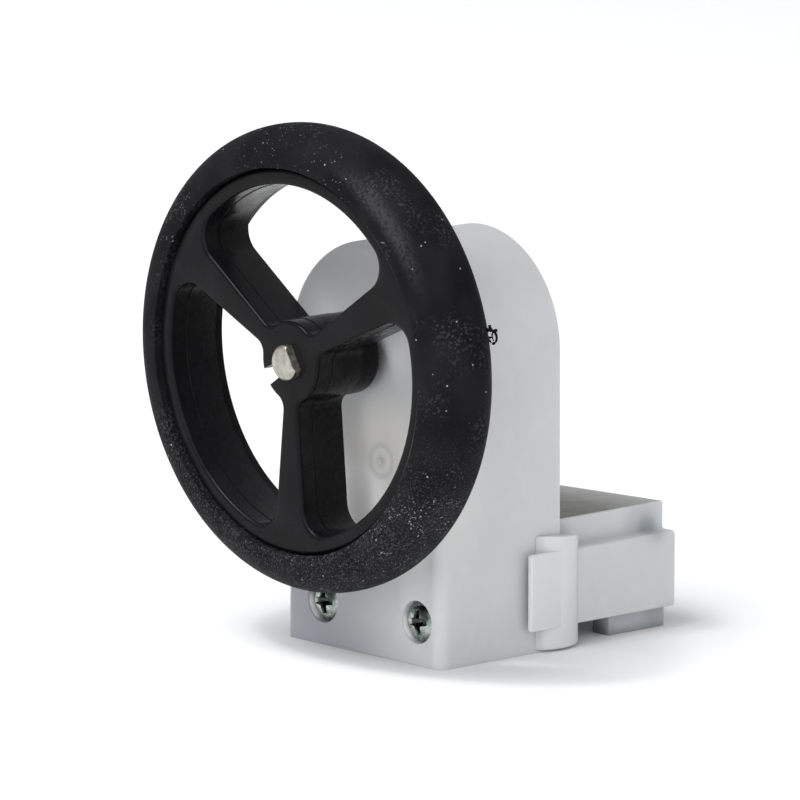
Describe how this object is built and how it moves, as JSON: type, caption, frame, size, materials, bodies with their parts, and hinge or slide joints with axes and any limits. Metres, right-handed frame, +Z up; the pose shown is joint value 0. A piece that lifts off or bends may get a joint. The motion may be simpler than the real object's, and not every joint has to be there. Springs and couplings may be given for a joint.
{
  "type": "motorized wheel drive unit",
  "caption": "Small gear-motor wheel unit: a three-spoke wheel with a rubber tyre on a D-shaft, in front of an arch-topped plastic tower with a stepped connector block behind it.",
  "frame": {"origin": "middle of the tower's flat underside, on the face the unit stands on", "axes": "+Z up, +Y backwards from the wheel towards the connector block, +X to the right; the wheel turns about Y"},
  "size_m": [0.04, 0.0365, 0.0463],
  "materials": {
    "tyre_rubber": "matt moulded rubber with fine pale dust",
    "black_plastic": "satin moulded plastic",
    "milky_plastic": "milky, slightly translucent moulded plastic",
    "dark_plastic": "plain moulded plastic",
    "gear_plastic": "natural acetal",
    "steel": "ground",
    "zinc": "zinc plated",
    "brass": "turned brass",
    "copper": "enamelled copper",
    "magnet": "sintered ferrite",
    "red_insulation": "soft insulation"
  },
  "bodies": {
    "housing": {"gearbox_shell": "milky_plastic", "rear_cover": "milky_plastic", "cover_screw_left": "zinc", "cover_screw_right": "zinc", "output_bush_front": "brass", "output_bush_rear": "brass", "layshaft_axle": "steel", "layshaft_washer_front": "steel", "layshaft_washer_rear": "steel", "motor_can": "steel", "motor_bush": "brass", "motor_end_cap": "dark_plastic", "motor_magnet_left": "magnet", "motor_magnet_right": "magnet", "motor_brush_left": "copper", "motor_brush_right": "copper", "motor_terminal_left": "brass", "motor_terminal_right": "brass", "lead_negative": "dark_plastic", "lead_positive": "red_insulation", "rear_block": "milky_plastic", "connector_body": "dark_plastic", "contact_pin_left": "brass", "contact_pin_right": "brass", "retaining_pin_left": "steel", "retaining_pin_right": "steel"},
    "output": {"tyre": "tyre_rubber", "wheel": "black_plastic", "output_shaft": "steel", "output_gear": "gear_plastic", "output_circlip": "steel"},
    "layshaft": {"compound_gear": "gear_plastic"},
    "rotor": {"rotor_shaft": "steel", "worm": "brass", "armature_core": "steel", "armature_winding_1": "copper", "armature_winding_2": "copper", "armature_winding_3": "copper", "commutator": "copper"}
  },
  "joints": [
    {"name": "wheel_spin", "type": "hinge", "parent": "housing", "child": "output", "pos_m": [0, 0, 0.02625], "axis": [0, 1, 0], "continuous": true},
    {"name": "layshaft_spin", "type": "hinge", "parent": "housing", "child": "layshaft", "pos_m": [-0.003, 0, 0.02176], "axis": [0, 1, 0], "continuous": true},
    {"name": "rotor_spin", "type": "hinge", "parent": "housing", "child": "rotor", "pos_m": [0.0013, -0.00022, 0], "axis": [0, 0, 1], "continuous": true}
  ],
  "couplings": [
    {"joint": "layshaft_spin", "follows": "wheel_spin", "ratio": -3},
    {"joint": "rotor_spin", "follows": "wheel_spin", "ratio": -42}
  ]
}
